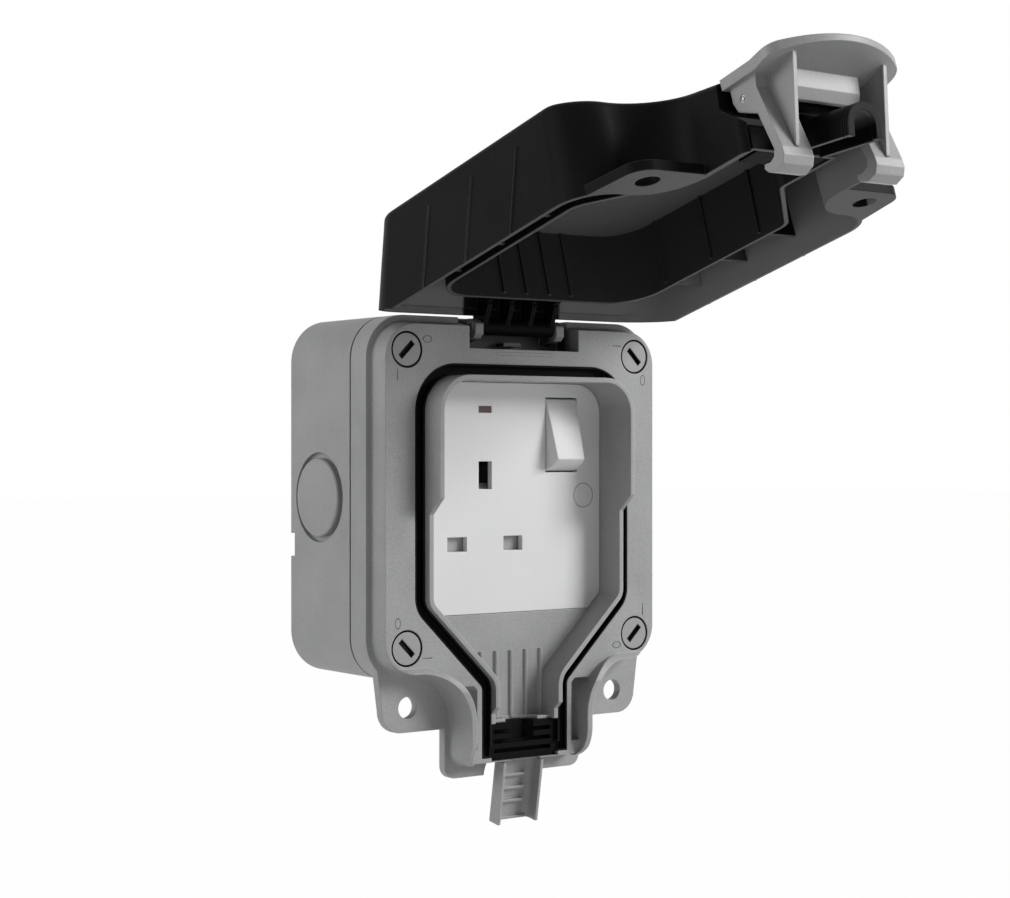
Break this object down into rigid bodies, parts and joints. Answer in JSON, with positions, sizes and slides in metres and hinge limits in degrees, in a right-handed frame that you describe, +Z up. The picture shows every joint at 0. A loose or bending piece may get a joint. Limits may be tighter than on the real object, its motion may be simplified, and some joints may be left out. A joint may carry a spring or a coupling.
{
  "type": "outdoor weatherproof socket",
  "caption": "Weatherproof outdoor power socket with a switched three-pin outlet, hinged lid, latch clip and a sealed cable exit below.",
  "frame": {"origin": "middle of the four wall fixing holes, on the back face of the box", "axes": "+X to the right as seen from the room, +Y into the wall, +Z up"},
  "size_m": [0.1156, 0.2041, 0.2324],
  "materials": {
    "grey_plastic": "satin",
    "black_plastic": "satin",
    "seal_rubber": "matte",
    "white_plastic": "satin",
    "inner_plastic": "matte",
    "contact_brass": "bright",
    "bright_steel": "plated",
    "neon_red": "clear tint",
    "lamp_glass": "clear"
  },
  "bodies": {
    "base": {"back_box": "grey_plastic", "front_frame": "grey_plastic", "entry_plug_left": "grey_plastic", "entry_plug_right": "grey_plastic", "box_gasket": "seal_rubber", "lid_seal": "seal_rubber", "lower_cable_seal": "seal_rubber", "socket_plate": "white_plastic", "screw_cover": "white_plastic", "module_housing": "inner_plastic", "live_contact": "contact_brass", "neutral_contact": "contact_brass", "earth_contact": "contact_brass", "fixed_contact": "contact_brass", "hinge_pin": "bright_steel", "plate_screw": "bright_steel", "terminal_screws": "bright_steel", "module_screws": "bright_steel", "shutter_spring": "bright_steel", "neon_lens": "neon_red", "neon_lamp": "lamp_glass"},
    "lid": {"lid": "black_plastic", "upper_cable_seal": "seal_rubber", "latch_pin": "bright_steel"},
    "latch": {"latch_clip": "grey_plastic"},
    "rocker": {"rocker": "white_plastic", "switch_plunger": "inner_plastic"},
    "switch_blade": {"switch_blade": "contact_brass"},
    "shutter": {"shutter": "white_plastic"},
    "frame_screw_top_left": {"frame_screw_top_left": "grey_plastic"},
    "frame_screw_top_right": {"frame_screw_top_right": "grey_plastic"},
    "frame_screw_bottom_left": {"frame_screw_bottom_left": "grey_plastic"},
    "frame_screw_bottom_right": {"frame_screw_bottom_right": "grey_plastic"}
  },
  "joints": [
    {"name": "lid_hinge", "type": "hinge", "parent": "base", "child": "lid", "pos_m": [0, -0.0468, 0.055], "axis": [1, 0, 0], "range_deg": [0, 105.85]},
    {"name": "latch_pivot", "type": "hinge", "parent": "lid", "child": "latch", "pos_m": [0, -0.18063, 0.10942], "axis": [1, 0, 0], "range_deg": [-2, 17]},
    {"name": "rocker_pivot", "type": "hinge", "parent": "base", "child": "rocker", "pos_m": [0.0209, -0.0409, 0.0202], "axis": [1, 0, 0], "range_deg": [0, 14]},
    {"name": "blade_pivot", "type": "hinge", "parent": "base", "child": "switch_blade", "pos_m": [0.0209, -0.0263, 0.0202], "axis": [1, 0, 0], "range_deg": [-16.1, 0.1]},
    {"name": "shutter_slide", "type": "slide", "parent": "base", "child": "shutter", "axis": [0, 0, -1], "range_m": [0, 0.0066], "stiffness_N_per_m": 60, "springref_m": -0.004, "deforming": ["shutter_spring"]},
    {"name": "screw_turn_top_left", "type": "hinge", "parent": "base", "child": "frame_screw_top_left", "pos_m": [-0.0458, -0.0525, 0.0466], "axis": [0, -1, 0], "range_deg": [0, 90]},
    {"name": "screw_turn_top_right", "type": "hinge", "parent": "base", "child": "frame_screw_top_right", "pos_m": [0.0458, -0.0525, 0.0466], "axis": [0, -1, 0], "range_deg": [0, 90]},
    {"name": "screw_turn_bottom_left", "type": "hinge", "parent": "base", "child": "frame_screw_bottom_left", "pos_m": [-0.0458, -0.0525, -0.0466], "axis": [0, -1, 0], "range_deg": [0, 90]},
    {"name": "screw_turn_bottom_right", "type": "hinge", "parent": "base", "child": "frame_screw_bottom_right", "pos_m": [0.0458, -0.0525, -0.0466], "axis": [0, -1, 0], "range_deg": [0, 90]}
  ],
  "couplings": [
    {"joint": "blade_pivot", "follows": "rocker_pivot", "ratio": -1.1429}
  ]
}
